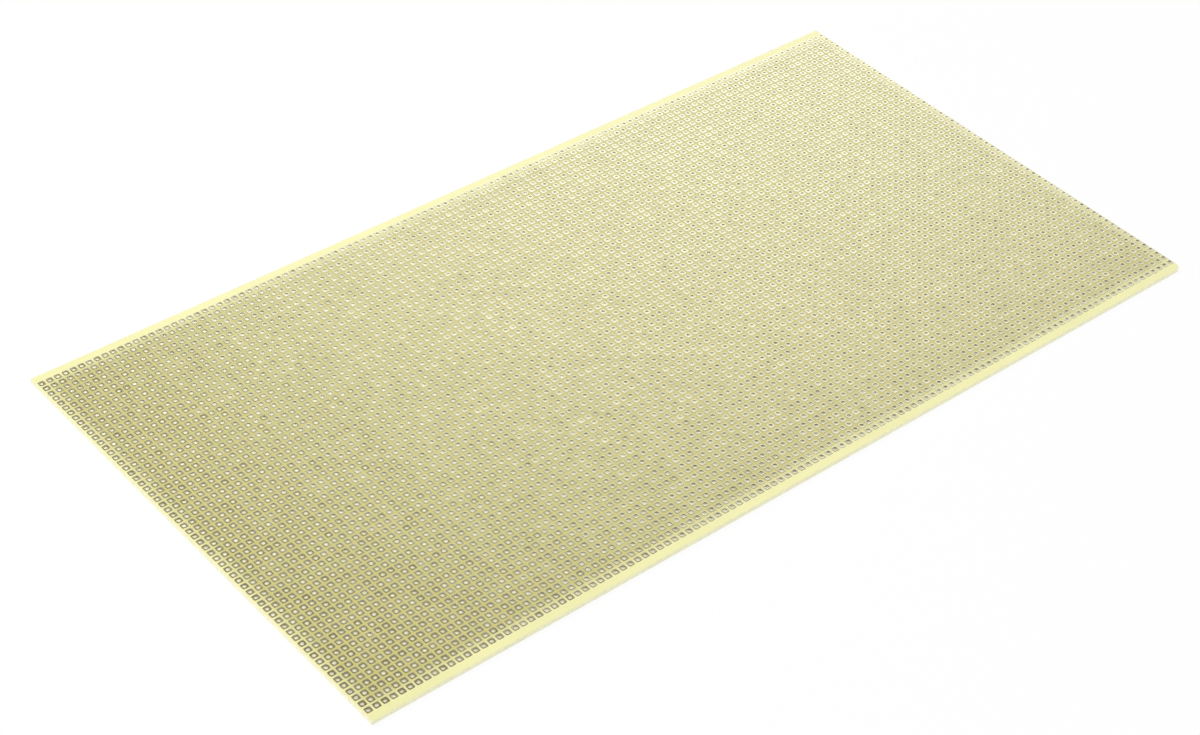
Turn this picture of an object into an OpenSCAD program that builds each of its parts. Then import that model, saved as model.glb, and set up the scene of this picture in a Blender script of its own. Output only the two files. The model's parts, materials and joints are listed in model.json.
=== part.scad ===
// Perforated prototype board: one flat sheet of glass-epoxy laminate, drilled right through
// on a square grid from edge to edge. It lies on its bare face, with its soldering face up.
// X runs along the sheet, Y across it, and Z is up from the face it lies on.

/* [Sheet] */
// Length of the sheet, along X
board_l = 299.5; // [260:0.5:330]
// Width of the sheet, along Y
board_w = 159.4; // [130:0.1:180]
// Thickness of the laminate
board_t = 1.5; // [0.8:0.1:2.4]
// Radius of the one corner that is rounded, at the +X end on the -Y side
corner_r = 1.5; // [0.4:0.1:2.5]

/* [Hole grid] */
// Distance between the centres of neighbouring holes, both ways
pitch = 2.54; // [2.5:0.01:2.6]
// Diameter of each hole
hole_d = 1; // [0.8:0.05:1.2]
// From the first column's centres to the -X end
end_margin = 1.5; // [1:0.1:3]
// The least left from the last column's centres to the +X end
end_margin_min = 0.8; // [0.8:0.1:3]
// From the first row's centres to the -Y side
side_margin = 3.5; // [2:0.1:6]
// The least left from the last row's centres to the +Y side
side_margin_min = 3.4; // [2:0.1:6]

/* [Hidden] */
// The sheet is one piece of laminate. It is held as strips that meet face to face midway
// between two columns of holes, so that no strip has more than about 400 of them.
strips = 20;

columns = floor((board_l - end_margin - end_margin_min) / pitch) + 1;
rows = floor((board_w - side_margin - side_margin_min) / pitch) + 1;

// Places of the sheet's +X end and +Y side, with the middle of its underside at the origin
x_end = board_l / 2;
y_side = board_w / 2;

// Where a column or a row of holes is
function column_x(i) = -x_end + end_margin + i * pitch;
function row_y(j) = -y_side + side_margin + j * pitch;

// The first column of a strip, and the X where the strip starts
function first_column(k) = floor(k * columns / strips);
function strip_x(k) =
    k == 0 ? -x_end :
    k == strips ? x_end :
    column_x(first_column(k)) - pitch / 2;

// The outline of the whole sheet, with its one rounded corner
module sheet_outline() {
    difference() {
        square([board_l, board_w], center = true);
        translate([x_end - corner_r, -y_side]) square(corner_r);
    }
    intersection() {
        translate([x_end - corner_r, -y_side + corner_r]) circle(r = corner_r, $fn = 48);
        translate([x_end - corner_r, -y_side]) square(corner_r);
    }
}

// The holes of strip number k
module strip_holes(k) {
    for (i = [first_column(k) : first_column(k + 1) - 1], j = [0 : rows - 1])
        translate([column_x(i), row_y(j)]) circle(d = hole_d, $fn = 24);
}

// Strip number k of the sheet, cut from its outline and drilled
module laminate(k) {
    color("khaki")
    linear_extrude(board_t)
    difference() {
        intersection() {
            sheet_outline();
            translate([strip_x(k), -y_side]) square([strip_x(k + 1) - strip_x(k), board_w]);
        }
        strip_holes(k);
    }
}

for (k = [0 : strips - 1])
    laminate(k);
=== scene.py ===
import json
import bpy
import numpy as np
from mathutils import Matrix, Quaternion, Vector


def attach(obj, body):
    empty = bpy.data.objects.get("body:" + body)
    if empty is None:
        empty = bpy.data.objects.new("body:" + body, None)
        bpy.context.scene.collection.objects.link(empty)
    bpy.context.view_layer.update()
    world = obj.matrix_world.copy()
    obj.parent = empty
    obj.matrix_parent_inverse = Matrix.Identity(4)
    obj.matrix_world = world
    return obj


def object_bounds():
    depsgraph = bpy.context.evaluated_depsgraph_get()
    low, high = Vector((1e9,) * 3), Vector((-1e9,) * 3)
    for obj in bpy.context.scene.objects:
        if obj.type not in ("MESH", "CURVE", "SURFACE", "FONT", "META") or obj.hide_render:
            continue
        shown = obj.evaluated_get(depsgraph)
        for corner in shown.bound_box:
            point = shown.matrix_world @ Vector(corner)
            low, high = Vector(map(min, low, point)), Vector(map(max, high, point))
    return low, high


# Perforated prototype board, lying on its bare face with its soldering pads up.
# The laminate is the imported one. The pads, the finishes, the floor with its lit pane, the light
# and the camera are made here.

mm = 0.001  # the frame is in metres

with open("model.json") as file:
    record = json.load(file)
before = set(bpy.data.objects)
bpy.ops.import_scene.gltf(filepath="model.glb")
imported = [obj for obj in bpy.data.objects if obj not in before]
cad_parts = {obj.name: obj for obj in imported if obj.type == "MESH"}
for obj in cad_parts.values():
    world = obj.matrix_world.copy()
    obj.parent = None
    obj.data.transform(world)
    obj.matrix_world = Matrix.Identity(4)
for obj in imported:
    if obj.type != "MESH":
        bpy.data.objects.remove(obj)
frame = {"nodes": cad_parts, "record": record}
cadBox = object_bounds()
mounts = {m["name"]: Vector(m["pos_m"]) for m in frame["record"]["mounts"]}
print("frame loaded:", len(frame["nodes"]), "strips of laminate")

# The hole grid, from the two stated holes that are furthest apart
grid = {
    "columns": 118,
    "rows": 61,
    "first": mounts["hole_column_1_row_1"],
    "last": mounts["hole_column_118_row_61"],
}
grid["pitch"] = (grid["last"].x - grid["first"].x) / (grid["columns"] - 1)
sheetTop = cadBox[1].z
sheetEnd = cadBox[1].x  # the sheet's +X end, and its -X end is as far the other way
sheetSide = cadBox[1].y


# Small helpers for node trees
# An empty material with its node list and a function that joins two sockets.
def newMaterial(name):
    material = bpy.data.materials.new(name)
    material.use_nodes = True
    material.node_tree.nodes.clear()
    return material, material.node_tree.nodes, material.node_tree.links.new


# Gives a socket its value: another socket to join to it, a number or an (r, g, b) colour.
def feed(join, value, socket):
    if isinstance(value, bpy.types.NodeSocket):
        join(value, socket)
    else:
        socket.default_value = (*value, 1.0) if isinstance(value, tuple) else value


# A Math node on sockets or plain numbers. Returns its output socket.
def maths(nodes, join, operation, first, second=None, clamp=False):
    node = nodes.new("ShaderNodeMath")
    node.operation = operation
    node.use_clamp = clamp
    feed(join, first, node.inputs[0])
    if second is not None:
        feed(join, second, node.inputs[1])
    return node.outputs[0]


# A colour ramp through (place, colour) stops. Returns its colour socket.
def ramp(nodes, join, factor, stops):
    node = nodes.new("ShaderNodeValToRGB")
    elements = node.color_ramp.elements
    elements[0].position, elements[1].position = stops[0][0], stops[-1][0]
    elements[0].color, elements[1].color = (*stops[0][1], 1.0), (*stops[-1][1], 1.0)
    for place, colour in stops[1:-1]:
        elements.new(place).color = (*colour, 1.0)
    join(factor, node.inputs["Fac"])
    return node.outputs["Color"]


# A Mix node on two colours, given as sockets or as (r, g, b). Returns its colour socket.
def mixColour(nodes, join, factor, first, second, blend="MIX"):
    node = nodes.new("ShaderNodeMix")
    node.data_type = "RGBA"
    node.blend_type = blend
    feed(join, factor, node.inputs["Factor"])
    feed(join, first, node.inputs[6])  # 6, 7 and output 2 are the node's colours
    feed(join, second, node.inputs[7])
    return node.outputs[2]


# A Mix Shader node. Returns its shader socket.
def mixShader(nodes, join, factor, first, second):
    node = nodes.new("ShaderNodeMixShader")
    for value, socket in zip((factor, first, second), node.inputs):
        feed(join, value, socket)
    return node.outputs[0]


# Noise of the given scale over a coordinate socket. Returns its value socket.
def noise(nodes, join, vector, scale, detail=2.0):
    node = nodes.new("ShaderNodeTexNoise")
    node.inputs["Scale"].default_value = scale
    node.inputs["Detail"].default_value = detail
    join(vector, node.inputs["Vector"])
    return node.outputs["Fac"]


# A normal that is bumped by a height. Returns its socket.
def bumped(nodes, join, height, strength, distance):
    node = nodes.new("ShaderNodeBump")
    node.inputs["Strength"].default_value = strength
    node.inputs["Distance"].default_value = distance
    join(height, node.inputs["Height"])
    return node.outputs["Normal"]


# A value of 0 to 1 spread evenly from low to high. Returns its socket.
def between(nodes, join, value, low, high):
    node = nodes.new("ShaderNodeMapRange")
    node.inputs["To Min"].default_value = low
    node.inputs["To Max"].default_value = high
    join(value, node.inputs["Value"])
    return node.outputs["Result"]


# The laminate: glass cloth in pale yellow resin
laminateLook = {
    "bare": (0.89, 0.86, 0.445),      # the bare margins along the sides
    "fieldShade": (0.600, 0.553, 0.203),   # painted shade between the pads, where less light gets in
    "fieldReach": 0.4,                # how far the painted shade goes past the outer holes, in pitches
    "fieldFade": 4.0 * mm,            # how softly the painted shade ends at the outermost pads
    "cloudScale": 45.0,               # noise of the resin's tone and sheen
    "cloudShades": ((0.3, (0.95, 0.95, 0.93)), (0.7, (1.0, 1.0, 1.0))),
    "upright": 0.5,                   # a face with less z than this in its normal is upright
    "endSkin": 0.3 * mm,              # upright faces this near an end are sawn, not drilled
    "sideSkin": 1.6 * mm,             # and this near a side, which takes in the rounded corner
    "cut": (0.98, 0.965, 0.63),       # sawn sides and ends: pale bare glass, made paler still as painted light for the glow through the sheet
    "drilled": (0.93, 0.91, 0.74),    # inside the holes, where the glass is laid bare
    "speckScale": 900.0,              # noise of the cut glass
    "speckShades": ((0.35, (0.9, 0.9, 0.88)), (0.65, (1.0, 1.0, 1.0))),
    "holeShade": (0.30, 0.25, 0.11),   # painted shade down the upper walls of some holes
    "holeShadeDepth": 0.55 * mm,
    "holeShadeScale": 330.0,             # noise that picks the holes that get that painted shade
    "holeShadeShares": ((0.42, 0.15), (0.62, 1.0)),  # how much of that depth, by this noise
    "weave": 0.42 * mm,               # from one glass yarn to the next
    "weaveStrength": 0.15,
    "weaveHeight": 0.02 * mm,
    "roughness": (0.32, 0.48),
    "index": 1.50,                    # of refraction
    "lacquer": 0.5,
    "lacquerRoughness": 0.15,
}


# Yellow glass-epoxy: the tone goes by place, with painted shade between the pads and at the tops of
# some hole walls, the sheen by noise, and the yarns show as a bump of two crossed waves.
def laminateMaterial():
    look = laminateLook
    material, nodes, join = newMaterial("glassEpoxy")
    out = nodes.new("ShaderNodeOutputMaterial")
    shader = nodes.new("ShaderNodeBsdfPrincipled")
    place = nodes.new("ShaderNodeTexCoord").outputs["Object"]
    split = nodes.new("ShaderNodeSeparateXYZ")
    join(place, split.inputs[0])
    x, y = split.outputs["X"], split.outputs["Y"]

    # how far a point is inside the pad field, where the painted shade lies, as 0 outside to 1
    # inside, along each axis
    inside = []
    ends = ((x, grid["first"].x, grid["last"].x), (y, grid["first"].y, grid["last"].y))
    for axis, first, last in ends:
        centre = (first + last) / 2
        half = (last - first) / 2 + grid["pitch"] * look["fieldReach"]
        away = maths(nodes, join, "ABSOLUTE", maths(nodes, join, "SUBTRACT", axis, centre))
        within = maths(nodes, join, "SUBTRACT", half, away)
        inside.append(maths(nodes, join, "DIVIDE", within, look["fieldFade"], clamp=True))
    fieldShade = maths(nodes, join, "MULTIPLY", inside[0], inside[1])

    cloudy = noise(nodes, join, place, look["cloudScale"], detail=3.0)
    # painted shade: between the pads the laminate is darker than at the bare margins
    top = mixColour(nodes, join, fieldShade, look["bare"], look["fieldShade"])
    shade = ramp(nodes, join, cloudy, look["cloudShades"])
    top = mixColour(nodes, join, 1.0, top, shade, "MULTIPLY")

    # upright faces: the sawn outside, and the walls of the holes further in
    facing = nodes.new("ShaderNodeSeparateXYZ")
    join(nodes.new("ShaderNodeNewGeometry").outputs["True Normal"], facing.inputs[0])
    level = maths(nodes, join, "ABSOLUTE", facing.outputs["Z"])
    upright = maths(nodes, join, "LESS_THAN", level, look["upright"])
    sawn = []
    for axis, limit in ((x, sheetEnd - look["endSkin"]), (y, sheetSide - look["sideSkin"])):
        away = maths(nodes, join, "ABSOLUTE", axis)
        sawn.append(maths(nodes, join, "GREATER_THAN", away, limit))
    outside = maths(nodes, join, "MAXIMUM", sawn[0], sawn[1])

    # painted shade: a wall is dark at the top, down to a depth that the noise gives it
    patchy = noise(nodes, join, place, look["holeShadeScale"], detail=1.0)
    shares = [(value, (share,) * 3) for value, share in look["holeShadeShares"]]
    shadedDepth = maths(nodes, join, "MULTIPLY", ramp(nodes, join, patchy, shares), look["holeShadeDepth"])
    depth = maths(nodes, join, "SUBTRACT", sheetTop, split.outputs["Z"])
    lower = maths(nodes, join, "DIVIDE", depth, shadedDepth, clamp=True)
    wall = mixColour(nodes, join, lower, look["holeShade"], look["drilled"])
    # the sawn faces' colour is partly painted light, paler for the glow through the sheet
    standing = mixColour(nodes, join, outside, wall, look["cut"])
    speck = ramp(nodes, join, noise(nodes, join, place, look["speckScale"]), look["speckShades"])
    standing = mixColour(nodes, join, 1.0, standing, speck, "MULTIPLY")
    join(mixColour(nodes, join, upright, top, standing), shader.inputs["Base Color"])

    # the yarns under the resin, as two crossed waves
    yarns = []
    for direction in ("X", "Y"):
        wave = nodes.new("ShaderNodeTexWave")
        wave.bands_direction = direction
        # at a scale of 1 this node's waves are 2 pi / 20 long
        wave.inputs["Scale"].default_value = 2 * np.pi / look["weave"] / 20
        join(place, wave.inputs["Vector"])
        yarns.append(wave.outputs["Fac"])
    weave = maths(nodes, join, "ADD", yarns[0], yarns[1])
    normal = bumped(nodes, join, weave, look["weaveStrength"], look["weaveHeight"])
    join(normal, shader.inputs["Normal"])
    join(between(nodes, join, cloudy, *look["roughness"]), shader.inputs["Roughness"])
    shader.inputs["IOR"].default_value = look["index"]
    shader.inputs["Coat Weight"].default_value = look["lacquer"]
    shader.inputs["Coat Roughness"].default_value = look["lacquerRoughness"]
    join(shader.outputs[0], out.inputs["Surface"])
    return material


laminate = laminateMaterial()
for node in frame["nodes"].values():
    node.data.materials.clear()
    node.data.materials.append(laminate)
print("laminate finished")

# The pads: tinned copper squares with a hole, 7198 of them in a few joined meshes
padShape = {
    "side": 1.96 * mm,        # across a pad
    "squareness": 9.0,        # power of the superellipse: higher is squarer
    "holeRadius": 0.5 * mm,
    "sunk": 0.004 * mm,       # how far the foot is let into the laminate
    "corners": 16,            # points round a ring, a multiple of 8 so that corners stay
    "shares": (0.0, 0.07, 0.60, 1.0),       # rings from the square's edge, 0, to the hole's, 1
    "heights": (0.0, 0.040, 0.047, 0.031),  # height of each ring, in mm
    "heightSpread": 0.07,     # how much the tin's thickness differs from pad to pad
    "thinnest": 0.45,         # least and most of the tin's usual thickness
    "thickest": 1.7,
    "tilt": 0.0065,           # slope of the tin from side to side, at one standard deviation
    "lowest": 0.3,            # the least of its own height that the tilt leaves a point
    "endGap": 0.02 * mm,      # left between the outermost pads and the sheet's ends
    "seed": 11,
    "meshes": 5,
}


# One pad's rings. Each ring's radius goes from a superellipse's to the hole's, by the ring's share.
# The superellipse's radius is half the side over the n-th root of |cos|^n + |sin|^n.
# Returns x, y and height of every ring point.
def ringPoints(shape):
    angle = np.arange(shape["corners"]) * 2 * np.pi / shape["corners"]
    power = shape["squareness"]
    root = (abs(np.cos(angle)) ** power + abs(np.sin(angle)) ** power) ** (1 / power)
    square = shape["side"] / 2 / root
    share = np.array(shape["shares"])[:, None]
    radius = square * (1 - share) + shape["holeRadius"] * share
    height = np.repeat(np.array(shape["heights"])[:, None] * mm, shape["corners"], axis=1)
    return radius * np.cos(angle), radius * np.sin(angle), height


# Quads of one pad: ring to ring over the top, then back from the rim to the foot underneath.
def ringFaces(shape):
    count, rings = shape["corners"], len(shape["shares"])
    ring = np.arange(rings)[:, None] * count
    step = np.arange(count)
    after = (step + 1) % count
    onward = (np.roll(np.arange(rings), -1) * count)[:, None]
    quads = np.stack([ring + step, ring + after, onward + after, onward + step], axis=-1)
    return quads.reshape(-1, 4)


# All pads of some columns as one mesh: each is the one pad moved to its hole, its height scaled
# and tilted by its own random numbers, and clipped at the sheet's cut ends.
def padField(name, columns, rng, material):
    shape = padShape
    x, y, height = ringPoints(shape)
    column, row = np.meshgrid(columns, np.arange(grid["rows"]), indexing="ij")
    middleX = (grid["first"].x + column.ravel() * grid["pitch"])[:, None, None]
    middleY = (grid["first"].y + row.ravel() * grid["pitch"])[:, None, None]
    count = middleX.shape[0]
    thick = 1 + shape["heightSpread"] * rng.standard_normal((count, 1, 1))
    thick = np.clip(thick, shape["thinnest"], shape["thickest"])
    slope = shape["tilt"] * rng.standard_normal((2, count, 1, 1))
    tone = rng.random(count)
    lift = np.where(height > 0, slope[0] * x + slope[1] * y, 0.0)  # the foot stays level
    high = np.maximum(height * thick + lift, height * shape["lowest"])
    high[:, 0, :] -= shape["sunk"]
    points = np.stack([middleX + x, middleY + y, sheetTop + high], axis=-1).reshape(-1, 3)
    limit = sheetEnd - shape["endGap"]
    points[:, 0] = np.clip(points[:, 0], -limit, limit)
    perPad = shape["corners"] * len(shape["shares"])
    faces = (ringFaces(shape)[None] + (np.arange(count) * perPad)[:, None, None]).reshape(-1, 4)

    mesh = bpy.data.meshes.new(name)
    mesh.vertices.add(len(points))
    mesh.vertices.foreach_set("co", points.astype(np.float32).ravel())
    mesh.loops.add(faces.size)
    mesh.loops.foreach_set("vertex_index", faces.astype(np.int32).ravel())
    mesh.polygons.add(len(faces))
    mesh.polygons.foreach_set("loop_start", np.arange(0, faces.size, 4, dtype=np.int32))
    mesh.update(calc_edges=True)
    mesh.validate()
    mesh.shade_flat()  # the tops are nearly flat, and their borders stay crisp

    # every point carries its pad's tone, and how far in it is from the pad's edge
    inward = np.tile(np.repeat(np.array(shape["shares"]), shape["corners"]), count)
    for label, values in (("padTone", np.repeat(tone, perPad)), ("padInward", inward)):
        attribute = mesh.attributes.new(label, "FLOAT", "POINT")
        attribute.data.foreach_set("value", values.astype(np.float32))
    mesh.materials.append(material)
    piece = bpy.data.objects.new(name, mesh)
    bpy.context.scene.collection.objects.link(piece)
    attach(piece, "root")


tinLook = {
    "bright": (0.645, 0.635, 0.520),
    "dull": (0.605, 0.592, 0.478),
    "ownTone": 0.5,               # how much of the tone is the pad's own, the rest is the bath's
    "brightFrom": 0.8,            # the mix of both at which the tin is at its brightest
    "patchScale": 30.0,           # noise of the bath from one part of the sheet to another
    "edge": (0.80, 0.76, 0.62),   # times the tone, darker along the pad's outer edge
    "edgeFrom": 0.02,             # share of the way in at which that begins to fade
    "edgeTo": 0.15,               # and at which it is gone
    "roughness": (0.16, 0.22),
    "grainScale": 2600.0,         # noise of the tin's grain
    "grainStrength": 0.25,
    "grainHeight": 0.02 * mm,
}


# Hot-tinned copper: each pad has its own tone and sheen, broken up by fine noise.
def tinMaterial():
    look = tinLook
    material, nodes, join = newMaterial("tinnedCopper")
    out = nodes.new("ShaderNodeOutputMaterial")
    shader = nodes.new("ShaderNodeBsdfPrincipled")
    place = nodes.new("ShaderNodeTexCoord").outputs["Object"]
    tone, inward = nodes.new("ShaderNodeAttribute"), nodes.new("ShaderNodeAttribute")
    tone.attribute_name, inward.attribute_name = "padTone", "padInward"
    own = maths(nodes, join, "MULTIPLY", tone.outputs["Fac"], look["ownTone"])
    patch = noise(nodes, join, place, look["patchScale"])
    bath = maths(nodes, join, "MULTIPLY", patch, 1 - look["ownTone"])
    mixed = maths(nodes, join, "ADD", own, bath)
    toneStops = [(0.0, look["dull"]), (look["brightFrom"], look["bright"])]
    edgeStops = [(look["edgeFrom"], look["edge"]), (look["edgeTo"], (1.0, 1.0, 1.0))]
    colour = ramp(nodes, join, mixed, toneStops)
    border = ramp(nodes, join, inward.outputs["Fac"], edgeStops)
    join(mixColour(nodes, join, 1.0, colour, border, "MULTIPLY"), shader.inputs["Base Color"])
    shader.inputs["Metallic"].default_value = 1.0
    smooth, rough = look["roughness"]
    join(between(nodes, join, mixed, rough, smooth), shader.inputs["Roughness"])
    grain = noise(nodes, join, place, look["grainScale"], detail=3.0)
    normal = bumped(nodes, join, grain, look["grainStrength"], look["grainHeight"])
    join(normal, shader.inputs["Normal"])
    join(shader.outputs[0], out.inputs["Surface"])
    return material


tin = tinMaterial()
rng = np.random.default_rng(padShape["seed"])
groups = np.array_split(np.arange(grid["columns"]), padShape["meshes"])
for number, columns in enumerate(groups, start=1):
    padField(f"tinned_pads_{number}", columns, rng, tin)
print("pads made:", grid["columns"] * grid["rows"])


# A level rectangle that reaches x and y each way from the middle. It is part of the stage.
def stageSheet(name, x, y, z, material):
    mesh = bpy.data.meshes.new(name)
    mesh.from_pydata([(-x, -y, z), (x, -y, z), (x, y, z), (-x, y, z)], [], [(0, 1, 2, 3)])
    mesh.materials.append(material)
    sheet = bpy.data.objects.new(name, mesh)
    bpy.context.scene.collection.objects.link(sheet)


floorLook = {
    "half": 3.0,              # from its middle to its sides
    "drop": 0.01 * mm,        # how far it is below the sheet
    "white": 0.9,
    "ownShare": 0.93,         # how much of its white is its own
}


# A plain white floor: partly its own white, partly lit, so that the shadow stays faint.
def makeFloor():
    material, nodes, join = newMaterial("floorWhite")
    out = nodes.new("ShaderNodeOutputMaterial")
    lit = nodes.new("ShaderNodeBsdfDiffuse")
    lit.inputs["Color"].default_value = (floorLook["white"],) * 3 + (1.0,)
    plain = nodes.new("ShaderNodeEmission")
    plain.inputs["Strength"].default_value = 1.0
    material.cycles.emission_sampling = "NONE"
    both = mixShader(nodes, join, floorLook["ownShare"], lit.outputs[0], plain.outputs[0])
    join(both, out.inputs["Surface"])
    half = floorLook["half"]
    stageSheet("floor", half, half, cadBox[0].z - floorLook["drop"], material)


paneLook = {
    "inset": 0.4 * mm,        # how much smaller it is than the sheet, on each side
    "strength": 2.0,          # light that comes up through the holes
    "slope": (-0.20, 0.35),   # how much it grows towards the +X end and the +Y side
}


# A lit pane just under the sheet, as on a light table. Its light is 1 plus x and y times their
# slopes, times its strength, with x and y from 0 at the middle to 1 at the sheet's end and side.
def makePane():
    material, nodes, join = newMaterial("litPane")
    out = nodes.new("ShaderNodeOutputMaterial")
    glow = nodes.new("ShaderNodeEmission")
    split = nodes.new("ShaderNodeSeparateXYZ")
    join(nodes.new("ShaderNodeTexCoord").outputs["Object"], split.inputs[0])
    across = maths(nodes, join, "MULTIPLY", split.outputs["X"], paneLook["slope"][0] / sheetEnd)
    away = maths(nodes, join, "MULTIPLY", split.outputs["Y"], paneLook["slope"][1] / sheetSide)
    share = maths(nodes, join, "ADD", maths(nodes, join, "ADD", across, away), 1.0)
    join(maths(nodes, join, "MULTIPLY", share, paneLook["strength"]), glow.inputs["Strength"])
    join(glow.outputs[0], out.inputs["Surface"])
    material.cycles.emission_sampling = "NONE"
    x, y = sheetEnd - paneLook["inset"], sheetSide - paneLook["inset"]
    stageSheet("litPane", x, y, cadBox[0].z - floorLook["drop"] / 2, material)


skyLook = {
    "fill": 0.685,            # the even light all round
    "middle": (47.0, 25.0),   # azimuth and elevation, in degrees, of the glow that the tin mirrors
    "strength": 2.8,
    "tones": (                # the glow's colour by the angle to its middle, in degrees
        (0, (0.81, 0.81, 0.81)), (6, (0.76, 0.76, 0.75)), (10, (0.615, 0.615, 0.60)),
        (13, (0.535, 0.53, 0.50)), (16, (0.485, 0.475, 0.41)), (18.5, (0.385, 0.38, 0.32)),
        (20.5, (0.12, 0.115, 0.07)), (23, (0.05, 0.04, 0.02)), (40, (0.16, 0.15, 0.10)),
        (90, (0.29, 0.28, 0.25)),
    ),
}


# White to the camera, even light on matt surfaces, and for gloss a glow that fades with the angle
# to its middle. That angle is the arc cosine of the dot product of the two directions.
def makeWorld():
    world = bpy.data.worlds.new("studio")
    bpy.context.scene.world = world
    world.use_nodes = True
    nodes, join = world.node_tree.nodes, world.node_tree.links.new
    nodes.clear()
    out = nodes.new("ShaderNodeOutputWorld")
    even, glow = nodes.new("ShaderNodeBackground"), nodes.new("ShaderNodeBackground")
    white = nodes.new("ShaderNodeBackground")
    even.inputs["Color"].default_value = white.inputs["Color"].default_value = (1, 1, 1, 1)
    even.inputs["Strength"].default_value = skyLook["fill"]
    glow.inputs["Strength"].default_value = skyLook["strength"]

    azimuth, elevation = np.radians(skyLook["middle"])
    level = np.cos(elevation)
    middle = (level * np.cos(azimuth), level * np.sin(azimuth), np.sin(elevation))
    toMiddle = nodes.new("ShaderNodeVectorMath")
    toMiddle.operation = "DOT_PRODUCT"
    join(nodes.new("ShaderNodeTexCoord").outputs["Generated"], toMiddle.inputs[0])
    toMiddle.inputs[1].default_value = middle
    angle = maths(nodes, join, "ARCCOSINE", toMiddle.outputs["Value"])
    share = maths(nodes, join, "MULTIPLY", angle, 2 / np.pi)  # 1 at 90 degrees
    stops = [(degrees / 90, colour) for degrees, colour in skyLook["tones"]]
    join(ramp(nodes, join, share, stops), glow.inputs["Color"])

    path = nodes.new("ShaderNodeLightPath").outputs
    light = mixShader(nodes, join, path["Is Glossy Ray"], even.outputs[0], glow.outputs[0])
    last = mixShader(nodes, join, path["Is Camera Ray"], light, white.outputs[0])
    join(last, out.inputs["Surface"])


lamp = {
    "place": (-0.55, 0.65, 1.05),
    "size": 0.5,          # across
    "power": 9.5,         # in watts
}


# One soft lamp above the far left, aimed at the sheet.
def makeLamp():
    data = bpy.data.lights.new("softLamp", "AREA")
    data.shape = "SQUARE"
    data.size = lamp["size"]
    data.energy = lamp["power"]
    light = bpy.data.objects.new("softLamp", data)
    light.location = lamp["place"]
    light.rotation_mode = "QUATERNION"
    light.rotation_quaternion = (-Vector(lamp["place"])).to_track_quat("-Z", "Y")
    light.visible_camera = False
    light.visible_glossy = False  # the tin mirrors the world's glow, not the lamp
    bpy.context.scene.collection.objects.link(light)


makeFloor()
makePane()
makeWorld()
makeLamp()
print("floor and light set")

# The camera, as it was when the photograph was taken
view = {
    "place": (-0.40277, -0.43444, 0.48218),
    "aim": (-0.01907, -0.00969, 0.0),
    "roll": 3.413,        # degrees, to the right
    "lens": 79.37,        # in mm, and so is the sensor's width
    "sensor": 36.0,
    "nearest": 0.01,      # the range of distances that it sees
    "furthest": 20.0,
}


# A camera at its place, looking at its aim, rolled about its own axis.
def makeCamera():
    data = bpy.data.cameras.new("camera")
    data.lens, data.sensor_width = view["lens"], view["sensor"]
    data.clip_start, data.clip_end = view["nearest"], view["furthest"]
    camera = bpy.data.objects.new("camera", data)
    along = Vector(view["aim"]) - Vector(view["place"])
    camera.location = view["place"]
    camera.rotation_mode = "QUATERNION"
    level = along.to_track_quat("-Z", "Y")
    camera.rotation_quaternion = level @ Quaternion((0, 0, 1), np.radians(view["roll"]))
    bpy.context.scene.collection.objects.link(camera)
    bpy.context.scene.camera = camera


makeCamera()
bpy.context.scene.view_settings.view_transform = "Standard"
print("camera set")
